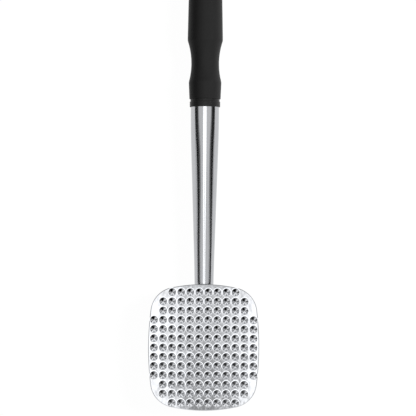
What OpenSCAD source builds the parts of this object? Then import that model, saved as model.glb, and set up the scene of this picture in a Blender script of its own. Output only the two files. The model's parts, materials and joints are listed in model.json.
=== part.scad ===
// Meat mallet: a cast head with a toothed face and a flat face, on a tapered steel neck with a soft grip.
// The origin is the centre of the flat striking face. +Z points to the toothed face and +Y along the handle,
// so the mallet lies on its flat face. Stations along the handle are distances from the origin, in mm.

/* [Head] */
// Width of the head at its toothed face
head_w = 77; // [74:0.5:82]
// Length of the head at its toothed face, in line with the handle
head_l = 87.7; // [86:0.1:94]
// Thickness of the casting between its two faces, without the teeth
head_t = 25; // [23:0.5:30]
// Radius of the bowed edges across the handle
head_end_r = 107; // [90:1:140]
// Radius of the bowed edges beside the handle
head_side_r = 207; // [150:1:300]
// Radius of the four corners
head_corner_r = 18; // [12:0.5:22]
// Casting draft: the side wall leans in towards the flat face, in degrees
head_draft = 3.4; // [1:0.1:5]
// Rounding of the toothed face's edge
tooth_rim_r = 0.6; // [0.3:0.1:1]
// Rounding of the flat face's edge
flat_rim_r = 0.8; // [0.4:0.1:1.5]

/* [Teeth] */
// Distance between teeth across the head
tooth_pitch_x = 6.25; // [6:0.05:6.4]
// Distance between rows of teeth
tooth_pitch_y = 6.38; // [6.1:0.01:6.5]
// Diameter of a tooth where it leaves the face
tooth_d = 5.2; // [4:0.1:5.4]
// Height of a tooth
tooth_h = 2.4; // [1.5:0.1:3]
// Diameter of a tooth's blunt tip
tooth_tip_d = 0.6; // [0.4:0.1:1.4]

/* [Neck] */
// Height of the handle's axis above the flat face
axis_z = 13; // [12.5:0.1:14]
// Outer diameter of the neck tube at the collar
neck_top_d = 19.9; // [19:0.1:20.4]
// Outer diameter of the neck tube where it enters the head
neck_head_d = 13.3; // [13:0.1:14]
// Wall of the neck tube
neck_wall = 0.9; // [0.7:0.1:1.2]
// Depth of the socket that the neck tube enters
socket_depth = 19; // [17:0.5:21]

/* [Grip] */
// Station of the collar's edge towards the head
collar_y = 167; // [160:0.5:172]
// Length of the collar
collar_len = 3.9; // [3:0.1:5]
// Outer diameter of the collar
collar_d = 21.3; // [21:0.1:22]
// Length of the groove between the collar and the grip
groove_len = 1.7; // [1:0.1:2.5]
// Diameter at the bottom of the groove
groove_d = 20.4; // [20:0.1:20.8]
// Outer diameter of the grip at its start, above the groove
skirt_start_d = 21.8; // [21.4:0.1:22.2]
// Outer diameter of the grip where its skirt meets the waist
skirt_end_d = 22.85; // [22.4:0.05:23.2]
// Station of the narrowest place of the waist
waist_y = 197.5; // [195:0.5:200]
// Outer diameter at the narrowest place of the waist
waist_d = 19.4; // [18.6:0.1:20]
// Radius of the waist's hollow, seen from the side
waist_hollow_r = 50; // [46:1:56]
// Largest outer diameter of the grip, at the end of the waist
barrel_d = 24.7; // [24:0.1:24.9]
// Outer diameter of the grip where it meets the end cap
grip_end_d = 22.4; // [22:0.1:23]
// Station where the grip meets the end cap
grip_end_y = 272; // [268:1:276]
// Thickness of the soft sleeve over the hard core
sleeve_wall = 1.8; // [1.4:0.1:2]

/* [End cap] */
// Length of the end cap outside the grip
cap_len = 20; // [18:0.5:24]
// Thickness of the flattened end around the hanging hole
cap_web = 9; // [7:0.5:11]
// Diameter of the hanging hole
hang_hole_d = 7; // [5:0.5:8]
// Distance from the grip to the middle of the hanging hole
hang_hole_offset = 11.5; // [11:0.5:12]

/* [Fasteners] */
// Diameter of the tie rod that holds head, neck and grip together
rod_d = 5; // [4.5:0.1:5.2]
// Width of the nuts across their flats
nut_flats = 8; // [7.8:0.1:8.2]

/* [Hidden] */
$fn = 72;

fit = 0.05;         // clearance on the radius between pieces that slide together
sliver = 0.01;      // thickness of the slices that the head is lofted through
overrun = 1;        // how far a cutter runs past the face it cuts
bend_steps = 16;    // stations along the grip's waist
neck_steps = 16;    // stations along the neck's taper
dome_steps = 12;    // stations along the end cap's dome
rim_steps = 4;      // slices through each rounded edge of the head

// Teeth: rows either side of the middle one, and the number of teeth in a row counted from the middle row.
tooth_rows = 6;
teeth_in_row = [12, 12, 12, 12, 10, 10, 8];

// Neck: the taper starts parallel under the collar, runs straight, and eases off towards the head.
taper_ease_in = 0.25;
taper_ease_out = 0.8;
taper_end_slope = 0.58;
taper_slope = 1 / (taper_ease_in / 2 + taper_ease_out - taper_ease_in
                   + (1 - taper_ease_out) * (1 + taper_end_slope) / 2);
head_edge_y = head_l / 2 - (head_t - axis_z) * tan(head_draft);
socket_y = head_edge_y - socket_depth;
neck_start_y = socket_y + 3;
neck_end_y = collar_y + collar_len;

// Grip: stations worked out from its diameters.
grip_y = neck_end_y + groove_len;
skirt_y = waist_y - hollow_reach((skirt_end_d - waist_d) / 2);
barrel_y = waist_y + hollow_reach((barrel_d - waist_d) / 2);
edge_soft = 0.6;    // bevel at the ends of the collar

// Core: the pocket under the end cap holds the nut, and the cap's spigot reaches round it.
pocket_y = grip_end_y - 16;
pocket_d = 15;
spigot_len = 8;
spigot_wall = 2;
plug_hex_d = 14;
plug_hex_len = 14;
plug_depth = 12;

// End cap.
cap_fullness = 2.5;
cap_scallop_r = 6;
hang_hole_y = grip_end_y + hang_hole_offset;
cap_flat_y = hang_hole_y - hang_hole_d / 2 - cap_scallop_r - 0.5;

// Fasteners.
insert_d = 9;
insert_len = 14;
jam_nut_t = 2.7;
tie_nut_t = 4;
washer_d = 10;
washer_t = 1;
spring_washer_d = 8.6;
spring_washer_t = 1.3;
pin_d = 1.8;
pin_len = 9;
bush_len = 8;
washer_y = pocket_y;
spring_washer_y = washer_y + washer_t;
tie_nut_y = spring_washer_y + spring_washer_t;
rod_end_y = tie_nut_y + tie_nut_t + 2;

// Seals.
seal_wire = 1.4;
head_seal_y = head_edge_y - 4;
collar_seal_y = collar_y + collar_len / 2;
collar_seal_wire = 0.6;
cap_seal_y = grip_end_y - 5;
cap_seal_wire = 1;

// Length of the waist's hollow, from its middle to where it has grown by h on the radius.
function hollow_reach(h) = sqrt(pow(waist_hollow_r, 2) - pow(waist_hollow_r - h, 2));

// Outer radius of the waist at a station.
function waist_radius(y) = waist_d / 2 + waist_hollow_r - sqrt(pow(waist_hollow_r, 2) - pow(y - waist_y, 2));

// Share of the taper that is used up at t, which runs from 0 at the collar to 1 at the head.
function taper_share(t) =
    t < taper_ease_in ? taper_slope * t * t / (2 * taper_ease_in)
    : t < taper_ease_out ? taper_slope * (t - taper_ease_in / 2)
    : taper_slope * (t - taper_ease_in / 2
                     - (1 - taper_end_slope) * pow(t - taper_ease_out, 2) / (2 * (1 - taper_ease_out)));

// Outer radius of the neck at t, and its station.
function neck_radius(t) = neck_top_d / 2 - (neck_top_d - neck_head_d) / 2 * taper_share(t);
function neck_station(t) = collar_y - (collar_y - head_edge_y) * t;

// Outline of the neck from the socket to its end under the collar, as [radius, station].
function neck_profile() = concat(
    [[neck_head_d / 2, neck_start_y]],
    [for (i = [neck_steps:-1:0]) [neck_radius(i / neck_steps), neck_station(i / neck_steps)]],
    [[neck_top_d / 2, neck_end_y]]);

// Outline of the grip from the groove to the end cap, as [radius, station].
function grip_profile() = concat(
    [[skirt_start_d / 2, grip_y]],
    [for (i = [0:bend_steps]) let (y = skirt_y + (barrel_y - skirt_y) * i / bend_steps) [waist_radius(y), y]],
    [[grip_end_d / 2, grip_end_y]]);

// The same outline, further in by a wall.
function inset(profile, wall) = [for (p = profile) [p[0] - wall, p[1]]];

function reversed(list) = [for (i = [len(list) - 1:-1:0]) list[i]];

// Outline of the end cap's dome, a fuller curve than an ellipse.
function dome_profile() = [for (i = [0:dome_steps]) let (a = 90 * i / dome_steps)
    [grip_end_d / 2 * pow(cos(a), 2 / cap_fullness), grip_end_y + cap_len * pow(sin(a), 2 / cap_fullness)]];

// Turns a piece that is drawn along +Z on to the handle's axis.
module on_axis() {
    translate([0, 0, axis_z]) rotate([-90, 0, 0]) children();
}

// A plain rod or bore on the handle's axis.
module turned(d, y, len) {
    on_axis() translate([0, 0, y]) cylinder(d = d, h = len);
}

// A washer or bush on the handle's axis.
module ring(d, hole_d, y, len) {
    difference() {
        turned(d, y, len);
        turned(hole_d, y - overrun, len + 2 * overrun);
    }
}

// A seal ring on the handle's axis, made of round rubber wire.
module seal(inner_d, wire, y) {
    on_axis() translate([0, 0, y]) rotate_extrude() translate([(inner_d + wire) / 2, 0]) circle(d = wire);
}

// A hexagonal prism on the handle's axis, with two flats level with the flat face.
module hexagon(flats, y, len) {
    on_axis() translate([0, 0, y]) cylinder(d = flats / cos(30), h = len, $fn = 6);
}

// A nut on the tie rod.
module nut(y, len) {
    difference() {
        hexagon(nut_flats, y, len);
        turned(rod_d, y - overrun, len + 2 * overrun);
    }
}

// A hollow piece turned between an outer and an inner outline.
module turned_shell(outer, inner) {
    on_axis() rotate_extrude() polygon(concat(outer, reversed(inner)));
}

// Outline of the head, smaller by an inset all round.
module head_outline(inset_by) {
    offset(delta = -inset_by) offset(r = head_corner_r, $fn = 64) offset(delta = -head_corner_r)
        intersection_for(side = [-1, 1]) intersection() {
            translate([0, side * (head_end_r - head_l / 2)]) circle(r = head_end_r, $fn = 180);
            translate([side * (head_side_r - head_w / 2), 0]) circle(r = head_side_r, $fn = 240);
        }
}

// One slice through the head: how far it is drawn in, and its height.
module head_slice(inset_by, z) {
    translate([0, 0, z]) linear_extrude(sliver) head_outline(inset_by);
}

// The casting's block, with draft on its side and rounded edges on both faces.
module head_block() {
    drawn_in = head_t * tan(head_draft);
    hull() for (i = [0:rim_steps]) {
        a = 90 * i / rim_steps;
        head_slice(drawn_in + flat_rim_r * (1 - sin(a)), flat_rim_r * (1 - cos(a)));
        head_slice(tooth_rim_r * (1 - sin(a)), head_t - sliver - tooth_rim_r * (1 - cos(a)));
    }
}

// One blunt cone, rooted in the block so that the two are one casting.
module tooth() {
    root = 0.4;
    lean = (tooth_d - tooth_tip_d) / 2 / tooth_h;
    translate([0, 0, head_t - root])
        cylinder(r1 = tooth_d / 2 + root * lean, r2 = tooth_tip_d / 2, h = tooth_h + root);
}

module teeth() {
    for (row = [-tooth_rows:tooth_rows]) {
        in_row = teeth_in_row[abs(row)];
        for (i = [0:in_row - 1])
            translate([(i - (in_row - 1) / 2) * tooth_pitch_x, row * tooth_pitch_y, 0]) tooth();
    }
}

// The head: toothed face, flat face, the neck's socket and the hole for the threaded insert.
module head_casting() {
    color("gainsboro") difference() {
        union() {
            head_block();
            teeth();
        }
        turned(neck_head_d + 2 * fit, socket_y, head_l);
        turned(insert_d, socket_y - insert_len, insert_len + overrun);
        turned(neck_head_d + 2 * seal_wire + 0.2, head_seal_y - seal_wire / 2 - 0.1, seal_wire + 0.2);
        locating_pin_shape();
    }
}

// Steel insert that takes the tie rod's thread.
module thread_insert() {
    color("slategray") ring(insert_d, rod_d, socket_y - insert_len, insert_len);
}

// Pin that keeps the head from turning on the neck: half in the casting, half in the tube's notch.
module locating_pin_shape() {
    translate([(neck_head_d - neck_wall) / 2, 0, 0]) turned(pin_d, socket_y - pin_len / 2, pin_len);
}

module locating_pin() {
    color("slategray") locating_pin_shape();
}

// Thin nut that locks the tie rod against the insert.
module jam_nut() {
    color("silver") nut(socket_y, jam_nut_t);
}

// Rod that clamps head, neck and grip together.
module tie_rod() {
    color("silver") turned(rod_d, socket_y - insert_len + 1, rod_end_y - socket_y + insert_len - 1);
}

// Seal in the socket's mouth, round the neck.
module head_seal() {
    color("black") seal(neck_head_d, seal_wire, head_seal_y);
}

// Plastic bush that centres the rod in the neck's lower end.
module lower_bush() {
    bush_d = neck_head_d - 2 * neck_wall - 2 * fit;
    color("ivory") ring(bush_d, rod_d + 2 * fit, head_edge_y - bush_len, bush_len);
}

// The tapered neck, a steel tube with a notch for the locating pin.
module neck_tube() {
    color("lightgray") difference() {
        turned_shell(neck_profile(), inset(neck_profile(), neck_wall));
        translate([(neck_head_d - neck_wall) / 2, socket_y, axis_z])
            cube([3 * neck_wall, pin_len + 2 * fit, pin_d + 2 * fit], center = true);
    }
}

// Plug in the neck's upper end: its flange is the bottom of the groove, and its hexagon carries the grip.
module tube_plug() {
    plug_y = neck_end_y - plug_depth;
    color("dimgray") difference() {
        union() {
            turned(neck_top_d - 2 * neck_wall - 2 * fit, plug_y, plug_depth);
            turned(groove_d, neck_end_y, groove_len);
            hexagon(plug_hex_d * cos(30), grip_y, plug_hex_len);
        }
        turned(rod_d + 2 * fit, plug_y - overrun, grip_y + plug_hex_len - plug_y + 2 * overrun);
    }
}

// Seal between the collar and the neck.
module collar_seal() {
    color("black") seal(neck_top_d, collar_seal_wire, collar_seal_y);
}

// Collar that covers the neck's end, with soft edges and a groove inside for its seal.
module collar_ring() {
    bore_d = neck_top_d + 2 * fit;
    color([0.1, 0.1, 0.1]) difference() {
        on_axis() translate([0, 0, collar_y]) rotate_extrude() polygon([
            [bore_d / 2, 0], [collar_d / 2 - edge_soft / 2, 0], [collar_d / 2, edge_soft],
            [collar_d / 2, collar_len - edge_soft], [collar_d / 2 - edge_soft / 2, collar_len],
            [bore_d / 2, collar_len]]);
        turned(neck_top_d + 2 * collar_seal_wire, collar_seal_y - collar_seal_wire / 2, collar_seal_wire);
    }
}

// Hard core of the grip: a hexagonal socket for the plug, a hole for the rod and a pocket for the nut.
module grip_core() {
    color("darkslategray") difference() {
        on_axis() rotate_extrude() polygon(concat(
            [[0, grip_y]], inset(grip_profile(), sleeve_wall), [[0, grip_end_y]]));
        hexagon(plug_hex_d * cos(30) + 2 * fit, grip_y - overrun, plug_hex_len + 2 * overrun);
        turned(rod_d + 1, grip_y, grip_end_y - grip_y);
        turned(pocket_d, pocket_y, grip_end_y - pocket_y + overrun);
    }
}

// Soft sleeve over the core: skirt, waist and barrel.
module grip_sleeve() {
    color([0.15, 0.15, 0.15]) turned_shell(grip_profile(), inset(grip_profile(), sleeve_wall));
}

// Washer under the nut, in the core's pocket.
module flat_washer() {
    color("silver") ring(washer_d, rod_d + 2 * fit, washer_y, washer_t);
}

// Split spring washer.
module spring_washer() {
    color("silver") on_axis() translate([0, 0, spring_washer_y]) rotate_extrude(angle = 345)
        translate([rod_d / 2 + fit, 0]) square([(spring_washer_d - rod_d) / 2 - fit, spring_washer_t]);
}

// Nut that pulls the rod tight.
module tie_nut() {
    color("silver") nut(tie_nut_y, tie_nut_t);
}

// Seal round the end cap's spigot.
module cap_seal() {
    color("black") seal(pocket_d - 2 * cap_seal_wire, cap_seal_wire, cap_seal_y);
}

// Cutter for one side of the flattened end, with a scalloped start.
module cap_flat(side) {
    translate([0, cap_flat_y + cap_scallop_r, axis_z + side * (cap_web / 2 + cap_scallop_r)]) {
        rotate([0, 90, 0]) cylinder(r = cap_scallop_r, h = 2 * grip_end_d, center = true);
        translate([-grip_end_d, 0, -cap_scallop_r]) cube([2 * grip_end_d, cap_len, 2 * cap_scallop_r]);
    }
}

// The end cap: a dome flattened on two sides, with a hanging hole and a spigot that snaps into the pocket.
module end_cap() {
    spigot_d = pocket_d - 2 * fit;
    color([0.08, 0.08, 0.08]) difference() {
        union() {
            on_axis() rotate_extrude() polygon(concat([[0, grip_end_y]], dome_profile()));
            turned(spigot_d, grip_end_y - spigot_len, spigot_len + overrun);
        }
        turned(spigot_d - 2 * spigot_wall, grip_end_y - spigot_len - overrun, spigot_len + 2 * overrun);
        ring(spigot_d + overrun, spigot_d - 2 * cap_seal_wire, cap_seal_y - cap_seal_wire / 2, cap_seal_wire);
        for (side = [-1, 1]) cap_flat(side);
        translate([0, hang_hole_y, axis_z]) cylinder(d = hang_hole_d, h = grip_end_d, center = true);
    }
}

head_casting();
thread_insert();
locating_pin();
jam_nut();
tie_rod();
head_seal();
lower_bush();
neck_tube();
tube_plug();
collar_seal();
collar_ring();
grip_core();
grip_sleeve();
flat_washer();
spring_washer();
tie_nut();
cap_seal();
end_cap();
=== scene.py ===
import json
from math import atan2, copysign, cos, pi, radians, sin, sqrt, tan

import bmesh
import bpy
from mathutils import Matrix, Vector
from mathutils.geometry import intersect_sphere_sphere_2d


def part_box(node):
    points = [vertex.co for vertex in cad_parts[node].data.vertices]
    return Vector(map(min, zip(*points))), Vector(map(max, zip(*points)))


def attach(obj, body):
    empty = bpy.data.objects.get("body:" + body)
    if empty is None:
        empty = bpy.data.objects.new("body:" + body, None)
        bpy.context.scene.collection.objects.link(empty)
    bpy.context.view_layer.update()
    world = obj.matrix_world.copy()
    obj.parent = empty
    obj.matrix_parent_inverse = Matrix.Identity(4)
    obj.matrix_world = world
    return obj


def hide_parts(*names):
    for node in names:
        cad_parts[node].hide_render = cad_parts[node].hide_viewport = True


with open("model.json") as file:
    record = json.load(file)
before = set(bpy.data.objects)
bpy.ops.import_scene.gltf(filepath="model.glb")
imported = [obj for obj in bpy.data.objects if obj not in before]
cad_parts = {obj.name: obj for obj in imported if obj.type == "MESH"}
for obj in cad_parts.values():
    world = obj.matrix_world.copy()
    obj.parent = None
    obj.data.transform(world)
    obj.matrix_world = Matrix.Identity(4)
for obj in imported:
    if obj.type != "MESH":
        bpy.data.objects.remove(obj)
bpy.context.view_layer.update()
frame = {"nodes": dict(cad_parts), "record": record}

# A meat mallet that lies on its flat face: a polished head with a bed of blunt teeth, a tapered polished
# neck and a soft black grip. +Y runs along the handle, from the head to the grip, and the teeth point up.
# Sizes are in metres.

MM = 0.001

# ---------------------------------------------------------------- driving sizes

# From the frame
head_low, head_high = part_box("head_casting")
neck_low, neck_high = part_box("neck_tube")
collar_low, collar_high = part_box("collar_ring")
sleeve_low, sleeve_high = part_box("grip_sleeve")
cap_low, cap_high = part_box("end_cap")

AXIS_Z = (neck_low.z + neck_high.z) / 2

# Head
HALF_W = (head_high.x - head_low.x) / 2
HALF_L = (head_high.y - head_low.y) / 2
TOOTH_H = 2.4 * MM           # of the frame's pointed teeth: the round tips end a little lower
HEAD_T = head_high.z - TOOTH_H
END_R = 107 * MM
SIDE_R = 207 * MM
CORNER_R = 18 * MM
DRAFT = radians(3.4)
TOOTH_RIM_R = 0.6 * MM
FLAT_RIM_R = 0.8 * MM
SOCKET_EDGE_Y = HALF_L - (HEAD_T - AXIS_Z) * tan(DRAFT)

# Teeth
PITCH_X = 6.25 * MM
PITCH_Y = 6.38 * MM
TOOTH_R = 2.6 * MM
TOOTH_SLOPE = radians(41)
TOOTH_FOOT_R = 0.25 * MM
TOOTH_TIP_R = 0.42 * MM
SKIRT_R = 3.1 * MM
SKIRT_SLOPE = radians(11)
TEETH_IN_ROW = [12, 12, 12, 12, 10, 10, 8]     # from the middle row out to the last one at each end
LAST_ROW = len(TEETH_IN_ROW) - 1

# Handle
NECK_WALL = 0.9 * MM
SLEEVE_WALL = 1.8 * MM
WAIST_Y = 197.5 * MM
WAIST_R = 9.7 * MM
WAIST_HOLLOW_R = 50 * MM
SKIRT_START_R = 10.9 * MM
SKIRT_END_R = 11.42 * MM
BARREL_R = (sleeve_high.x - sleeve_low.x) / 2
CAP_R = (cap_high.x - cap_low.x) / 2
CAP_WEB = 9 * MM
CAP_SCALLOP_R = 6 * MM
CAP_SOFTNESS = 1.2 * MM
HOLE_R = 3.5 * MM
HOLE_Y = sleeve_high.y + 11.5 * MM
CAP_FLAT_Y = HOLE_Y - HOLE_R - CAP_SCALLOP_R - 0.5 * MM
SPIGOT_R = 7.45 * MM
SPIGOT_WALL = 2 * MM

# The socket in the head that the neck enters
NECK_HEAD_R = 6.65 * MM
SOCKET_R = NECK_HEAD_R + 0.05 * MM
SOCKET_BEVEL = 0.4 * MM

# How fine the meshes are
EASE_STEPS = 5
TURN_STEPS = 128
HOLE_STEPS = 64
EDGE_POINTS = 256
RIM_STEPS = 5
TOOTH_SIDES = 24
SKIRT_STEPS = 2
FOOT_STEPS = 2
TIP_STEPS = 2
NECK_STEPS = 40
WAIST_STEPS = 24
DOME_STEPS = 64
SEAM = 0.001 * MM            # points of a spun outline that are closer than this are one
MERGE = 0.002 * MM           # the same for a finished piece
SHARP_ANGLE = radians(32)    # a steeper edge stays sharp in the shading
LEVEL = 0.99999              # the upright part of a face's normal, above which the face is flat and level


# ---------------------------------------------------------------- meshes

def finished(name, bm, material, body_slot, *nodes):
    """Makes a mesh piece that rides on the mallet and stands for its CAD nodes."""
    bmesh.ops.remove_doubles(bm, verts=bm.verts, dist=MERGE)
    bmesh.ops.recalc_face_normals(bm, faces=bm.faces)
    for face in bm.faces:
        face.smooth = abs(face.normal.z) < LEVEL
    for edge in bm.edges:
        edge.smooth = not edge.is_manifold or edge.calc_face_angle() < SHARP_ANGLE
    mesh = bpy.data.meshes.new(name)
    bm.to_mesh(mesh)
    bm.free()
    mesh.materials.append(material)
    piece = bpy.data.objects.new(name, mesh)
    bpy.context.scene.collection.objects.link(piece)
    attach(piece, "root")
    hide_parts(*nodes)


def eased(outline):
    """An outline of (radius, station) points, where a third number rounds the corner over that length."""
    points = []
    for i, corner in enumerate(outline):
        here = Vector(corner[:2])
        if len(corner) == 2:
            points.append(here)
            continue
        before = Vector(outline[i - 1][:2])
        after = Vector(outline[(i + 1) % len(outline)][:2])
        start = here + (before - here).normalized() * corner[2]
        end = here + (after - here).normalized() * corner[2]
        for step in range(EASE_STEPS + 1):
            t = step / EASE_STEPS
            points.append((1 - t) ** 2 * start + 2 * t * (1 - t) * here + t ** 2 * end)
    return points


def spun(outline, centre, axis, steps):
    """A bmesh of a closed outline, drawn in the plane of +Z and the axis, and spun round the axis."""
    bm = bmesh.new()
    points = [bm.verts.new(point) for point in outline]
    edges = [bm.edges.new(pair) for pair in zip(points, points[1:] + points[:1])]
    bmesh.ops.spin(bm, geom=points + edges, cent=centre, axis=axis, dvec=(0, 0, 0), angle=2 * pi,
                   steps=steps, use_merge=True, use_duplicate=False, use_normal_flip=False)
    bmesh.ops.remove_doubles(bm, verts=bm.verts, dist=SEAM)
    bmesh.ops.dissolve_degenerate(bm, edges=bm.edges, dist=SEAM)
    bmesh.ops.recalc_face_normals(bm, faces=bm.faces)
    return bm


def turned(outline):
    """A piece turned about the handle's axis from (radius, station) points."""
    points = [(0, station, AXIS_Z + radius) for radius, station in eased(outline)]
    return spun(points, (0, 0, AXIS_Z), (0, 1, 0), TURN_STEPS)


def combined(first, second, operation):
    """A bmesh of one solid joined with another, or with the other taken away."""
    solids = []
    for bm in (first, second):
        solid = bpy.data.objects.new("solid", bpy.data.meshes.new("solid"))
        bm.to_mesh(solid.data)
        bm.free()
        bpy.context.scene.collection.objects.link(solid)
        solids.append(solid)
    boolean = solids[0].modifiers.new("combine", "BOOLEAN")
    boolean.operation = operation
    boolean.solver = "EXACT"
    boolean.object = solids[1]
    shown = solids[0].evaluated_get(bpy.context.evaluated_depsgraph_get())
    result = bmesh.new()
    result.from_mesh(shown.to_mesh())
    shown.to_mesh_clear()
    for solid in solids:
        bpy.data.objects.remove(solid)
    return result


# ---------------------------------------------------------------- the head

TOOTH_ROOT = 0.3 * MM        # how far a tooth's solid reaches into the block before the two are joined
TOOTH_SINK = 0.0005 * MM     # how far its skirt is sunk, so that the skirt's rim and the bed cross cleanly

# The edge's outline is a large arc on each side and end, joined by a smaller arc at each corner.
side_centre = Vector((HALF_W - SIDE_R, 0))
end_centre = Vector((0, HALF_L - END_R))
crossings = intersect_sphere_sphere_2d(side_centre, SIDE_R - CORNER_R, end_centre, END_R - CORNER_R)
corner_centre = max(crossings, key=lambda point: point.x)
side_span = atan2(corner_centre.y - side_centre.y, corner_centre.x - side_centre.x)
end_span = atan2(corner_centre.y - end_centre.y, corner_centre.x - end_centre.x)


def head_edge(angle, inset):
    """The point of the head's edge that faces a direction, drawn in by an inset."""
    facing = atan2(abs(sin(angle)), abs(cos(angle)))
    if facing < side_span:
        centre, radius = side_centre, SIDE_R
    elif facing > end_span:
        centre, radius = end_centre, END_R
    else:
        centre, radius = corner_centre, CORNER_R
    across = centre.x + (radius - inset) * cos(facing)
    along = centre.y + (radius - inset) * sin(facing)
    return copysign(across, cos(angle)), copysign(along, sin(angle))


def head_block():
    """The casting without its teeth and socket: a drafted block with rounded rims."""
    bm = bmesh.new()
    bmesh.ops.create_circle(bm, cap_ends=True, cap_tris=False, segments=EDGE_POINTS, radius=1)
    facing = {vert: atan2(vert.co.y, vert.co.x) for vert in bm.verts}
    for vert, angle in facing.items():
        vert.co.xy = head_edge(angle, HEAD_T * tan(DRAFT))
    raised = bmesh.ops.extrude_face_region(bm, geom=bm.faces[:], use_keep_orig=True)["geom"]
    for vert in [part for part in raised if isinstance(part, bmesh.types.BMVert)]:
        foot = min(facing, key=lambda other: (other.co - vert.co).length)
        vert.co = (*head_edge(facing[foot], 0), HEAD_T)
    bmesh.ops.recalc_face_normals(bm, faces=bm.faces)
    for height, radius in ((0, FLAT_RIM_R), (HEAD_T, TOOTH_RIM_R)):
        rim = [edge for edge in bm.edges if all(abs(vert.co.z - height) < MERGE for vert in edge.verts)]
        bmesh.ops.bevel(bm, geom=rim, affect="EDGES", offset=radius, offset_type="OFFSET",
                        segments=RIM_STEPS, profile=0.5, material=-1, clamp_overlap=False)
    return bm


def tooth_outline():
    """(radius, height) points of a tooth: a shallow skirt, a filleted foot, a straight flank, a round tip."""
    foot = TOOTH_R + TOOTH_FOOT_R * tan(TOOTH_SLOPE / 2)
    skirt_w = SKIRT_R - foot + TOOTH_FOOT_R * sin(SKIRT_SLOPE)
    skirt_h = skirt_w * tan(SKIRT_SLOPE) / 2
    lift = skirt_h - TOOTH_FOOT_R * (1 - cos(SKIRT_SLOPE))
    points = []
    for step in range(SKIRT_STEPS):
        share = step / SKIRT_STEPS
        points.append((SKIRT_R - skirt_w * share, skirt_h * share ** 2))
    for step in range(FOOT_STEPS + 1):
        turn = SKIRT_SLOPE + (TOOTH_SLOPE - SKIRT_SLOPE) * step / FOOT_STEPS
        points.append((foot - TOOTH_FOOT_R * sin(turn), lift + TOOTH_FOOT_R * (1 - cos(turn))))
    tip_centre = lift + TOOTH_R * tan(TOOTH_SLOPE) - TOOTH_TIP_R / cos(TOOTH_SLOPE)
    tip = []
    for step in range(TIP_STEPS + 1):
        turn = TOOTH_SLOPE * (1 - step / TIP_STEPS)
        tip.append((TOOTH_TIP_R * sin(turn), tip_centre + TOOTH_TIP_R * cos(turn)))
    flank = [Vector(points[-1]).lerp(Vector(tip[0]), share) for share in (0.1, 0.9)]
    return points + flank + tip


def tooth_solid():
    """One tooth at the middle of the bed, with a root that lies inside the casting."""
    foot = tooth_outline()
    outline = [(0, -TOOTH_ROOT), (foot[0][0], -TOOTH_ROOT), *foot]
    points = [(radius, 0, HEAD_T + height - TOOTH_SINK) for radius, height in outline]
    return spun(points, (0, 0, 0), (0, 0, 1), TOOTH_SIDES)


def tooth_places():
    """The middle of every tooth. The rows are full in the middle of the head and shorter towards its ends."""
    for row in range(-LAST_ROW, LAST_ROW + 1):
        count = TEETH_IN_ROW[abs(row)]
        for i in range(count):
            yield Vector(((i - (count - 1) / 2) * PITCH_X, row * PITCH_Y, 0))


def head_mesh():
    """The whole casting: the block, its bed of teeth, and the socket that the neck enters."""
    tooth = bpy.data.meshes.new("tooth")
    tooth_solid().to_mesh(tooth)
    teeth = bmesh.new()
    for place in tooth_places():
        first = len(teeth.verts)
        teeth.from_mesh(tooth)
        teeth.verts.ensure_lookup_table()
        bmesh.ops.translate(teeth, verts=teeth.verts[first:], vec=place)
    bpy.data.meshes.remove(tooth)
    casting = combined(head_block(), teeth, "UNION")
    mouth = SOCKET_EDGE_Y + SOCKET_BEVEL
    socket = turned([(0, neck_low.y), (SOCKET_R, neck_low.y), (SOCKET_R, SOCKET_EDGE_Y - SOCKET_BEVEL),
                     (SOCKET_R + 2 * SOCKET_BEVEL, mouth), (0, mouth)])
    casting = combined(casting, socket, "DIFFERENCE")
    flats = [face for face in casting.faces if len(face.verts) > 4]
    bmesh.ops.triangulate(casting, faces=flats, quad_method="BEAUTY", ngon_method="BEAUTY")
    return casting


# ---------------------------------------------------------------- the handle

# The taper starts parallel under the collar, runs straight, and eases off towards the head.
TAPER_EASE_IN = 0.25
TAPER_EASE_OUT = 0.8
TAPER_END_SLOPE = 0.58
TAPER_MIDDLE = TAPER_EASE_OUT - TAPER_EASE_IN
TAPER_SLOPE = 1 / (TAPER_EASE_IN / 2 + TAPER_MIDDLE + (1 - TAPER_EASE_OUT) * (1 + TAPER_END_SLOPE) / 2)
NECK_TOP_R = (neck_high.x - neck_low.x) / 2


def taper_share(t):
    """Share of the taper that is used up at t, from 0 at the collar to 1 at the head."""
    if t < TAPER_EASE_IN:
        return TAPER_SLOPE * t * t / (2 * TAPER_EASE_IN)
    share = TAPER_SLOPE * (t - TAPER_EASE_IN / 2)
    if t > TAPER_EASE_OUT:
        lost = TAPER_SLOPE * (1 - TAPER_END_SLOPE) / (1 - TAPER_EASE_OUT)
        share -= lost * (t - TAPER_EASE_OUT) ** 2 / 2
    return share


def neck_outline():
    """A thin tube: straight inside the grip and the socket, and tapered between them."""
    taper = []
    for step in range(NECK_STEPS, -1, -1):
        t = step / NECK_STEPS
        radius = NECK_TOP_R - (NECK_TOP_R - NECK_HEAD_R) * taper_share(t)
        taper.append((radius, collar_low.y - (collar_low.y - SOCKET_EDGE_Y) * t))
    outer = [(NECK_HEAD_R, neck_low.y), *taper, (NECK_TOP_R, neck_high.y)]
    inner = [(radius - NECK_WALL, station) for radius, station in reversed(outer)]
    return outer + inner


def hollow_reach(height):
    """How far from the waist's middle its hollow has grown by a height."""
    return sqrt(WAIST_HOLLOW_R ** 2 - (WAIST_HOLLOW_R - height) ** 2)


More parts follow.
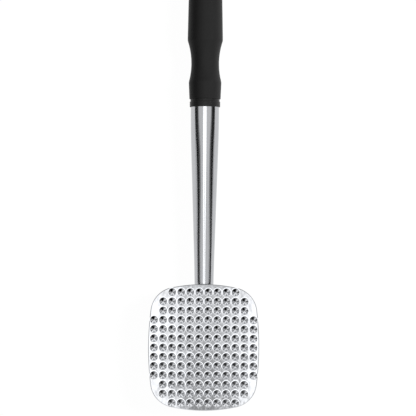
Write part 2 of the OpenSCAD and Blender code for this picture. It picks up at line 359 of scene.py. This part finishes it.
def sleeve_outline():
    """The sleeve's wall: a short flared skirt, a hollow waist and a long barrel."""
    start = WAIST_Y - hollow_reach(SKIRT_END_R - WAIST_R)
    end = WAIST_Y + hollow_reach(BARREL_R - WAIST_R)
    waist = []
    for step in range(1, WAIST_STEPS):
        station = start + (end - start) * step / WAIST_STEPS
        radius = WAIST_R + WAIST_HOLLOW_R - sqrt(WAIST_HOLLOW_R ** 2 - (station - WAIST_Y) ** 2)
        waist.append((radius, station))
    outer = [(SKIRT_START_R, sleeve_low.y, 0.4 * MM), (SKIRT_END_R, start, 1.0 * MM), *waist,
             (BARREL_R, end, 1.0 * MM), (CAP_R, sleeve_high.y, 0.25 * MM)]
    inner = [(CAP_R - SLEEVE_WALL, sleeve_high.y), (WAIST_R - SLEEVE_WALL, WAIST_Y),
             (SKIRT_START_R - SLEEVE_WALL, sleeve_low.y)]
    return outer + inner


def collar_outline():
    """A ring with rounded outer corners."""
    outer = (collar_high.x - collar_low.x) / 2
    return [(NECK_TOP_R, collar_low.y), (outer, collar_low.y, 0.6 * MM), (outer, collar_high.y, 0.5 * MM),
            (NECK_TOP_R, collar_high.y)]


CAP_CREST_RISE = 3           # how steeply the limit rises past the scallop's crest, to leave the cap whole
DOME_SQUARENESS = 0.8        # 1 is an ellipse, and less is squarer
DOME_CROWDING = 1.25         # more than 1 sets the dome's rings closer near the grip

# The hanging hole's rim: how much wider than the hole, and how far above the cap's flat, in millimetres.
HOLE_RIM = [(0.7, 3), (0.7, 0.05), (0.3, -0.1), (0.08, -0.4), (0, -0.9)]


def flattened(station):
    """Half the thickness that the end cap keeps at a station: a scallop that runs down to the flats."""
    crest = CAP_WEB / 2 + CAP_SCALLOP_R
    if station < CAP_FLAT_Y:
        return crest + CAP_CREST_RISE * (CAP_FLAT_Y - station)
    short = max(CAP_FLAT_Y + CAP_SCALLOP_R - station, 0)
    return crest - sqrt(CAP_SCALLOP_R ** 2 - short ** 2)


def end_cap_mesh():
    """A domed cap with a spigot, softly flattened on two sides, and a hanging hole with eased rims."""
    start = sleeve_high.y
    dome = []
    for step in range(1, DOME_STEPS + 1):
        turn = pi / 2 * (step / DOME_STEPS) ** DOME_CROWDING
        across = cos(turn) ** DOME_SQUARENESS
        along = sin(turn) ** DOME_SQUARENESS
        dome.append((CAP_R * across, start + (cap_high.y - start) * along))
    bore = SPIGOT_R - SPIGOT_WALL
    cap = turned([(0, start + MM), (bore, start + MM), (bore, cap_low.y), (SPIGOT_R, cap_low.y, 0.4 * MM),
                  (SPIGOT_R, start), (CAP_R, start, 0.3 * MM), *dome])
    for vert in cap.verts:
        half = abs(vert.co.z - AXIS_Z)
        limit = flattened(vert.co.y)
        overlap = max(CAP_SOFTNESS - abs(half - limit), 0)
        half = min(half, limit) - overlap ** 2 / CAP_SOFTNESS / 4
        if vert.co.y > start:
            vert.co.z = AXIS_Z + copysign(max(half, 0), vert.co.z - AXIS_Z)
    rim = [(HOLE_R + wider * MM, CAP_WEB / 2 + higher * MM) for wider, higher in HOLE_RIM]
    above = [(radius, HOLE_Y, AXIS_Z + height) for radius, height in rim]
    below = [(radius, HOLE_Y, AXIS_Z - height) for radius, height in reversed(rim)]
    ends = [(0, HOLE_Y, below[-1][2]), (0, HOLE_Y, above[0][2])]
    hole = spun([*above, *below, *ends], (0, HOLE_Y, AXIS_Z), (0, 0, 1), HOLE_STEPS)
    return combined(cap, hole, "DIFFERENCE")


# ---------------------------------------------------------------- shaders

class Value:
    """A number that varies over a surface. Python's operators on it add Math nodes."""

    def __init__(self, shader, socket):
        self.shader = shader
        self.socket = socket

    def math(self, operation, *others):
        """A Math node on this value and others, by the node's own name for the operation."""
        inputs = dict(enumerate((self, *others)))
        return self.shader.value("ShaderNodeMath", {"operation": operation}, inputs)

    def __add__(self, other):
        return self.math("ADD", other)

    def __mul__(self, other):
        return self.math("MULTIPLY", other)

    def __sub__(self, other):
        return self.math("SUBTRACT", other)

    def __rsub__(self, other):
        return (self * -1) + other

    def __truediv__(self, other):
        return self.math("DIVIDE", other)

    __radd__ = __add__
    __rmul__ = __mul__

    def ramp(self, low, high):
        """0 below low, 1 above high, and smooth between them. low may be the larger, for a falling ramp."""
        return self.shader.value("ShaderNodeMapRange", {"interpolation_type": "SMOOTHSTEP"},
                                 {"Value": self, "From Min": low, "From Max": high})


class Shader:
    """The node tree of one material or of the world."""

    def __init__(self, owner):
        owner.use_nodes = True
        self.tree = owner.node_tree
        self.tree.nodes.clear()

    def node(self, kind, settings=None, inputs=None):
        """A node with its settings and what its sockets hold or are linked to."""
        node = self.tree.nodes.new(kind)
        for name, setting in (settings or {}).items():
            if name == "stops":
                self.stops(node.color_ramp.elements, setting)
            else:
                setattr(node, name, setting)
        for name, value in (inputs or {}).items():
            self.feed(node.inputs[name], value)
        return node

    def stops(self, elements, stops):
        """Gives a colour ramp its (position, level) stops."""
        for stop in stops[1:-1]:
            elements.new(stop[0])
        for element, (position, level) in zip(elements, stops):
            element.position = position
            element.color = grey(level)

    def feed(self, socket, value):
        """Links a value or another socket into a socket, or sets it to a constant."""
        if isinstance(value, Value):
            value = value.socket
        if isinstance(value, bpy.types.NodeSocket):
            self.tree.links.new(value, socket)
        else:
            socket.default_value = value

    def value(self, kind, settings=None, inputs=None):
        """The first output of a new node, to do sums with."""
        return Value(self, self.node(kind, settings, inputs).outputs[0])

    def place(self, scale=(1, 1, 1)):
        """Object coordinates, stretched by a scale."""
        where = self.node("ShaderNodeTexCoord").outputs["Object"]
        return self.node("ShaderNodeMapping", {}, {"Vector": where, "Scale": scale}).outputs[0]

    def noise(self, size, stretch=(1, 1, 1), detail=3):
        """Noise whose blobs have a size in metres."""
        inputs = {"Vector": self.place(stretch), "Scale": 1 / size, "Detail": detail, "Roughness": 0.55}
        return self.value("ShaderNodeTexNoise", {"noise_dimensions": "3D"}, inputs)

    def mix(self, share, first, second):
        """A colour between two, by a share."""
        node = self.node("ShaderNodeMix", {"data_type": "RGBA"}, {0: share, 6: first, 7: second})
        return node.outputs[2]

    def bump(self, height, depth):
        """A normal from a height of 0 to 1, which is depth metres deep."""
        inputs = {"Height": height, "Distance": depth, "Strength": 1.0}
        return self.node("ShaderNodeBump", {}, inputs).outputs[0]

    def surface(self, inputs):
        """Ends a material's tree with one surface shader."""
        shader = self.node("ShaderNodeBsdfPrincipled", {}, inputs)
        self.node("ShaderNodeOutputMaterial", {}, {"Surface": shader.outputs[0]})


def grey(level, blue=0.0):
    """A grey, tinted towards blue by a share."""
    return (level, level * (1 + blue / 3), level * (1 + blue), 1)


def material(name):
    """A new material and the shader that fills it."""
    made = bpy.data.materials.new(name)
    return made, Shader(made)


def polished_casting():
    """Bright polished casting with a faint waviness and fine polishing marks."""
    made, shader = material("polished_casting")
    wave = shader.noise(9 * MM, detail=2)
    marks = shader.noise(0.5 * MM, stretch=(1, 0.1, 1), detail=4)
    colour = shader.mix(wave, grey(0.49, 0.04), grey(0.65, 0.07))
    shader.surface({
        "Base Color": colour, "Metallic": 1.0, "Roughness": 0.03 + marks * 0.04,
        "Normal": shader.bump(wave * 0.7 + marks * 0.03, 0.09 * MM)})
    return made


def polished_tube():
    """Polished stainless tube with a fine grain along its length."""
    made, shader = material("polished_tube")
    grain = shader.noise(0.25 * MM, stretch=(1, 0.02, 1), detail=3)
    cloud = shader.noise(14 * MM, detail=2)
    colour = shader.mix(cloud, grey(0.455, 0.045), grey(0.50, 0.055))
    shader.surface({
        "Base Color": colour, "Metallic": 1.0, "Roughness": 0.09 + grain * 0.05,
        "Normal": shader.bump(grain, 0.0008 * MM)})
    return made


def grip_rubber():
    """Soft-touch black rubber with a fine pebble."""
    made, shader = material("grip_rubber")
    pebble = shader.noise(0.35 * MM, detail=2)
    cloud = shader.noise(12 * MM, detail=3)
    colour = shader.mix(cloud, grey(0.0035), grey(0.0045))
    shader.surface({
        "Base Color": colour, "Roughness": 0.42 + cloud * 0.08, "IOR": 1.2,
        "Normal": shader.bump(pebble, 0.02 * MM)})
    return made


def black_plastic():
    """Moulded black plastic with a fine spark-eroded texture."""
    made, shader = material("black_plastic")
    grain = shader.noise(0.2 * MM, detail=2)
    cloud = shader.noise(10 * MM, detail=2)
    colour = shader.mix(cloud, grey(0.003), grey(0.0045))
    shader.surface({
        "Base Color": colour, "Roughness": 0.34 + cloud * 0.08, "IOR": 1.25,
        "Normal": shader.bump(grain, 0.01 * MM)})
    return made


def plain_steel():
    """Turned and rolled steel with fine rings of tool marks."""
    made, shader = material("plain_steel")
    rings = shader.noise(0.3 * MM, stretch=(0.05, 1, 0.05), detail=3)
    cloud = shader.noise(4 * MM, detail=3)
    colour = shader.mix(cloud, grey(0.42, 0.02), grey(0.56, 0.02))
    shader.surface({
        "Base Color": colour, "Metallic": 1.0, "Roughness": 0.26 + rings * 0.14,
        "Normal": shader.bump(rings, 0.004 * MM)})
    return made


def seal_rubber():
    """Dull black rubber with a slight bloom."""
    made, shader = material("seal_rubber")
    bloom = shader.noise(1.5 * MM, detail=3)
    colour = shader.mix(bloom, grey(0.010), grey(0.022))
    shader.surface({"Base Color": colour, "Roughness": 0.62 + bloom * 0.15})
    return made


def natural_nylon():
    """Uncoloured nylon, clouded along the way it flowed into its mould."""
    made, shader = material("natural_nylon")
    flow = shader.noise(3 * MM, stretch=(1, 0.3, 1), detail=3)
    colour = shader.mix(flow, (0.74, 0.71, 0.60, 1), (0.82, 0.80, 0.71, 1))
    shader.surface({"Base Color": colour, "Roughness": 0.38 + flow * 0.12})
    return made


# ---------------------------------------------------------------- the pieces

finishes = {
    "polished_casting": polished_casting(),
    "polished_tube": polished_tube(),
    "grip_rubber": grip_rubber(),
    "black_plastic": black_plastic(),
    "plain_steel": plain_steel(),
    "seal_rubber": seal_rubber(),
    "natural_nylon": natural_nylon()}

for entry in frame["record"]["subparts"]:
    node = frame["nodes"][entry["node"]]
    node.data.materials.clear()
    node.data.materials.append(finishes[entry["material_slot"]])

finished("toothed_head", head_mesh(), finishes["polished_casting"], "polished_casting", "head_casting")
finished("tapered_neck", turned(neck_outline()), finishes["polished_tube"], "polished_tube", "neck_tube")
finished("grip_skin", turned(sleeve_outline()), finishes["grip_rubber"], "grip_rubber", "grip_sleeve")
finished("hanging_end", end_cap_mesh(), finishes["black_plastic"], "black_plastic", "end_cap")
finished("neck_collar", turned(collar_outline()), finishes["black_plastic"], "black_plastic", "collar_ring")

# ---------------------------------------------------------------- the floor, the light and the camera

CAMERA_AIM = Vector((2.5 * MM, 96.5 * MM, AXIS_Z))
CAMERA_DISTANCE = 1.0
FIELD = 291.2 * MM
CAMERA_ROLL = radians(0.3)

FLOOR_SIZE = 4
FLOOR_DROP = 0.05 * MM
FLOOR_LEVEL = 0.98
WALL_LEVEL = 0.93
OVERHEAD_LEVEL = 2.5
HORIZON_LEVEL = 1.3
KEY_PLACE = (0.9, 0.3, 0.9)
KEY_SIZE = 0.5
KEY_WATTS = 82


def pale_floor():
    """A plain floor that glows evenly, so that the metal mirrors it at one level."""
    bm = bmesh.new()
    bmesh.ops.create_grid(bm, x_segments=1, y_segments=1, size=FLOOR_SIZE)
    mesh = bpy.data.meshes.new("floor")
    bm.to_mesh(mesh)
    bm.free()
    floor = bpy.data.objects.new("floor", mesh)
    floor.location.z = -FLOOR_DROP
    bpy.context.scene.collection.objects.link(floor)
    made, shader = material("pale_floor")
    shader.surface({"Base Color": grey(0.01), "Roughness": 0.9, "Specular IOR Level": 0.0,
                    "Emission Color": grey(1.0), "Emission Strength": FLOOR_LEVEL})
    mesh.materials.append(made)


# How bright the studio is round the horizon, by degrees from +X towards +Y: pale walls, narrow dark stands,
# and a dark corner beyond the grip on the left.
HORIZON = [(-180, 0.01), (-171, 0.01), (-167, 0.70), (-150, 0.60), (-146, 0.0), (-136, 0.0),
           (-130, 1.1), (-98, 1.1), (-94, 0.10), (-86, 0.10), (-82, 1.1), (-45, 1.1),
           (-40, 0.05), (-32, 0.05), (-28, 0.85), (-19, 0.85), (-15, 0.01), (14, 0.01),
           (18, 0.80), (48, 0.85), (60, 0.50), (72, 0.28), (83, 0.14), (87, 0.0),
           (149, 0.0), (154, 0.20), (165, 0.25), (170, 0.01), (180, 0.01)]


def blended(first, second, share):
    """A level between two, by a share."""
    return first * (1 - share) + second * share


def dimmed(level, mask, share):
    """A level that loses a share of itself where a mask is 1."""
    return level * (1 - mask * share)


def studio():
    """Soft light all round, worked out from the direction it comes from."""
    world = bpy.data.worlds.new("studio")
    bpy.context.scene.world = world
    shader = Shader(world)
    direction = shader.node("ShaderNodeTexCoord").outputs["Generated"]
    split = shader.node("ShaderNodeSeparateXYZ", {}, {0: direction})
    x, y, z = (Value(shader, split.outputs[i]) for i in range(3))
    height = z.math("ARCSINE") * (180 / pi)
    along = y / (x * x + y * y + 0.0001).math("SQRT")
    aside = x.math("ABSOLUTE")
    right = x.ramp(-0.1, 0.1)

    # Pale walls, and a bright panel overhead.
    overhead = height.ramp(74, 79)
    level = blended(WALL_LEVEL, OVERHEAD_LEVEL, overhead)

    # The panel is dimmer in front of the head, and most of all where the camera hangs.
    above_head = y.ramp(-0.01, -0.05) * y.ramp(-0.22, -0.17) * aside.ramp(0.085, 0.06)
    level = dimmed(level, above_head, 0.27 + aside.ramp(0.04, 0.0) * 0.46)
    lens = aside.ramp(0.03, 0.005) * y.ramp(-0.08, -0.13) * overhead
    level = dimmed(level, lens, 0.45)
    beyond = y.ramp(-0.15, -0.19) * y.ramp(-0.5, -0.4) * aside.ramp(0.03, 0.09) * height.ramp(50, 60)
    level = dimmed(level, beyond, 0.3)

    # A dark band low on each side draws the two dark lines along the neck. Beside the neck's middle it lies
    # higher, and on the right it sinks towards the head.
    near = y.ramp(-0.13, -0.095) * y.ramp(0.08, 0.05)
    left_bow = y.ramp(-0.1, -0.05) * y.ramp(0.07, -0.045) * 20
    right_bow = y.ramp(0.06, -0.01) * 12 - y.ramp(-0.04, -0.105) * 29
    bowed = height - blended(left_bow, right_bow, right) * near
    sides = 1 - along.math("ABSOLUTE").ramp(0.5, 0.9)
    level = dimmed(level, bowed.ramp(42, 28) * sides, 0.94)

    # The teeth's flanks mirror the horizon.
    low = bowed.ramp(26, 12)
    turn = y.math("ARCTAN2", x) * (0.5 / pi) + 0.5
    stops = [(0.5 + degrees / 360, brightness) for degrees, brightness in HORIZON]
    horizon = shader.value("ShaderNodeValToRGB", {"stops": stops}, {"Fac": turn})
    level = blended(level, horizon * HORIZON_LEVEL, low)

    # Where the band lies higher, the wall is pale again under it.
    under = bowed.ramp(2, -2) * near
    level = blended(level, 0.85 - right * 0.15, under)

    # The far end is dim above the horizon.
    far_end = along.ramp(0.5, 0.8) * height.ramp(72, 52) * (1 - low)
    level = dimmed(level, far_end, 0.7)

    # What the camera sees of the room is plain white.
    seen = Value(shader, shader.node("ShaderNodeLightPath").outputs["Is Camera Ray"])
    strength = blended(level, 1, seen)
    background = shader.node("ShaderNodeBackground", {}, {"Color": grey(1.0), "Strength": strength})
    shader.node("ShaderNodeOutputWorld", {}, {"Surface": background.outputs[0]})


def soft_light(name, place, size, watts):
    """A square panel of light that points at the mallet and isn't mirrored in its metal."""
    lamp = bpy.data.lights.new(name, "AREA")
    lamp.size = size
    lamp.energy = watts
    panel = bpy.data.objects.new(name, lamp)
    panel.location = place
    panel.rotation_euler = (CAMERA_AIM - Vector(place)).to_track_quat("-Z", "Y").to_euler()
    panel.visible_glossy = False
    bpy.context.scene.collection.objects.link(panel)


def camera():
    """Looks straight down on the mallet from a metre above its axis."""
    lens = bpy.data.cameras.new("camera")
    lens.sensor_width = 36
    lens.lens = lens.sensor_width * CAMERA_DISTANCE / FIELD
    lens.clip_start = 0.05
    lens.clip_end = 20
    eye = bpy.data.objects.new("camera", lens)
    eye.location = CAMERA_AIM + Vector((0, 0, CAMERA_DISTANCE))
    eye.rotation_euler = (0, 0, CAMERA_ROLL)
    bpy.context.scene.collection.objects.link(eye)
    bpy.context.scene.camera = eye


pale_floor()
studio()
soft_light("key", KEY_PLACE, KEY_SIZE, KEY_WATTS)
camera()
bpy.context.scene.view_settings.view_transform = "Standard"
